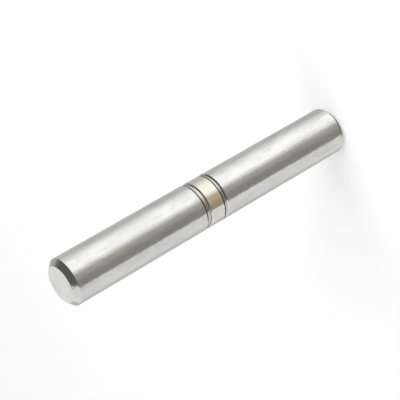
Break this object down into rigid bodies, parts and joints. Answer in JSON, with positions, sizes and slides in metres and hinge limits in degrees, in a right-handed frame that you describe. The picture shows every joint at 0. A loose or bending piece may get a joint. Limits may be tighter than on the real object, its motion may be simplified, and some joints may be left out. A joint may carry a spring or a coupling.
{
  "type": "weld-on barrel hinge",
  "caption": "Round weld-on lift-off hinge: two turned steel barrels on a fixed pin, with a shrouded thrust ball bearing between them.",
  "frame": {"origin": "centre of the flat outer end of the lower barrel, which the hinge stands on", "axes": "+Z along the hinge axis, from the lower barrel (with the fixed pin) to the upper barrel (which lifts off)"},
  "size_m": [0.02, 0.02, 0.14],
  "materials": {
    "barrel_steel": "bright cold-drawn bar, turned ends, fine draw lines",
    "pin_steel": "ground",
    "race_steel": "hardened and ground",
    "ball_steel": "polished bearing steel",
    "cage_brass": "satin",
    "shroud_metal": "polished, pale straw tint"
  },
  "bodies": {
    "lower_half": {"lower_barrel": "barrel_steel", "hinge_pin": "pin_steel", "lower_race": "race_steel", "bearing_shroud": "shroud_metal"},
    "ball_set": {"ball_cage": "cage_brass", "ball_01": "ball_steel", "ball_02": "ball_steel", "ball_03": "ball_steel", "ball_04": "ball_steel", "ball_05": "ball_steel", "ball_06": "ball_steel", "ball_07": "ball_steel", "ball_08": "ball_steel", "ball_09": "ball_steel", "ball_10": "ball_steel", "ball_11": "ball_steel", "ball_12": "ball_steel"},
    "turning_race": {"upper_race": "race_steel"},
    "upper_half": {"upper_barrel": "barrel_steel"}
  },
  "joints": [
    {"name": "swing", "type": "hinge", "parent": "lower_half", "child": "turning_race", "pos_m": [0, 0, 0.07], "axis": [0, 0, 1], "continuous": true},
    {"name": "lift_off", "type": "slide", "parent": "turning_race", "child": "upper_half", "axis": [0, 0, 1], "range_m": [0, 0.04]},
    {"name": "cage_turn", "type": "hinge", "parent": "lower_half", "child": "ball_set", "pos_m": [0, 0, 0.07], "axis": [0, 0, 1], "continuous": true}
  ],
  "couplings": [
    {"joint": "cage_turn", "follows": "swing", "ratio": 0.5}
  ]
}
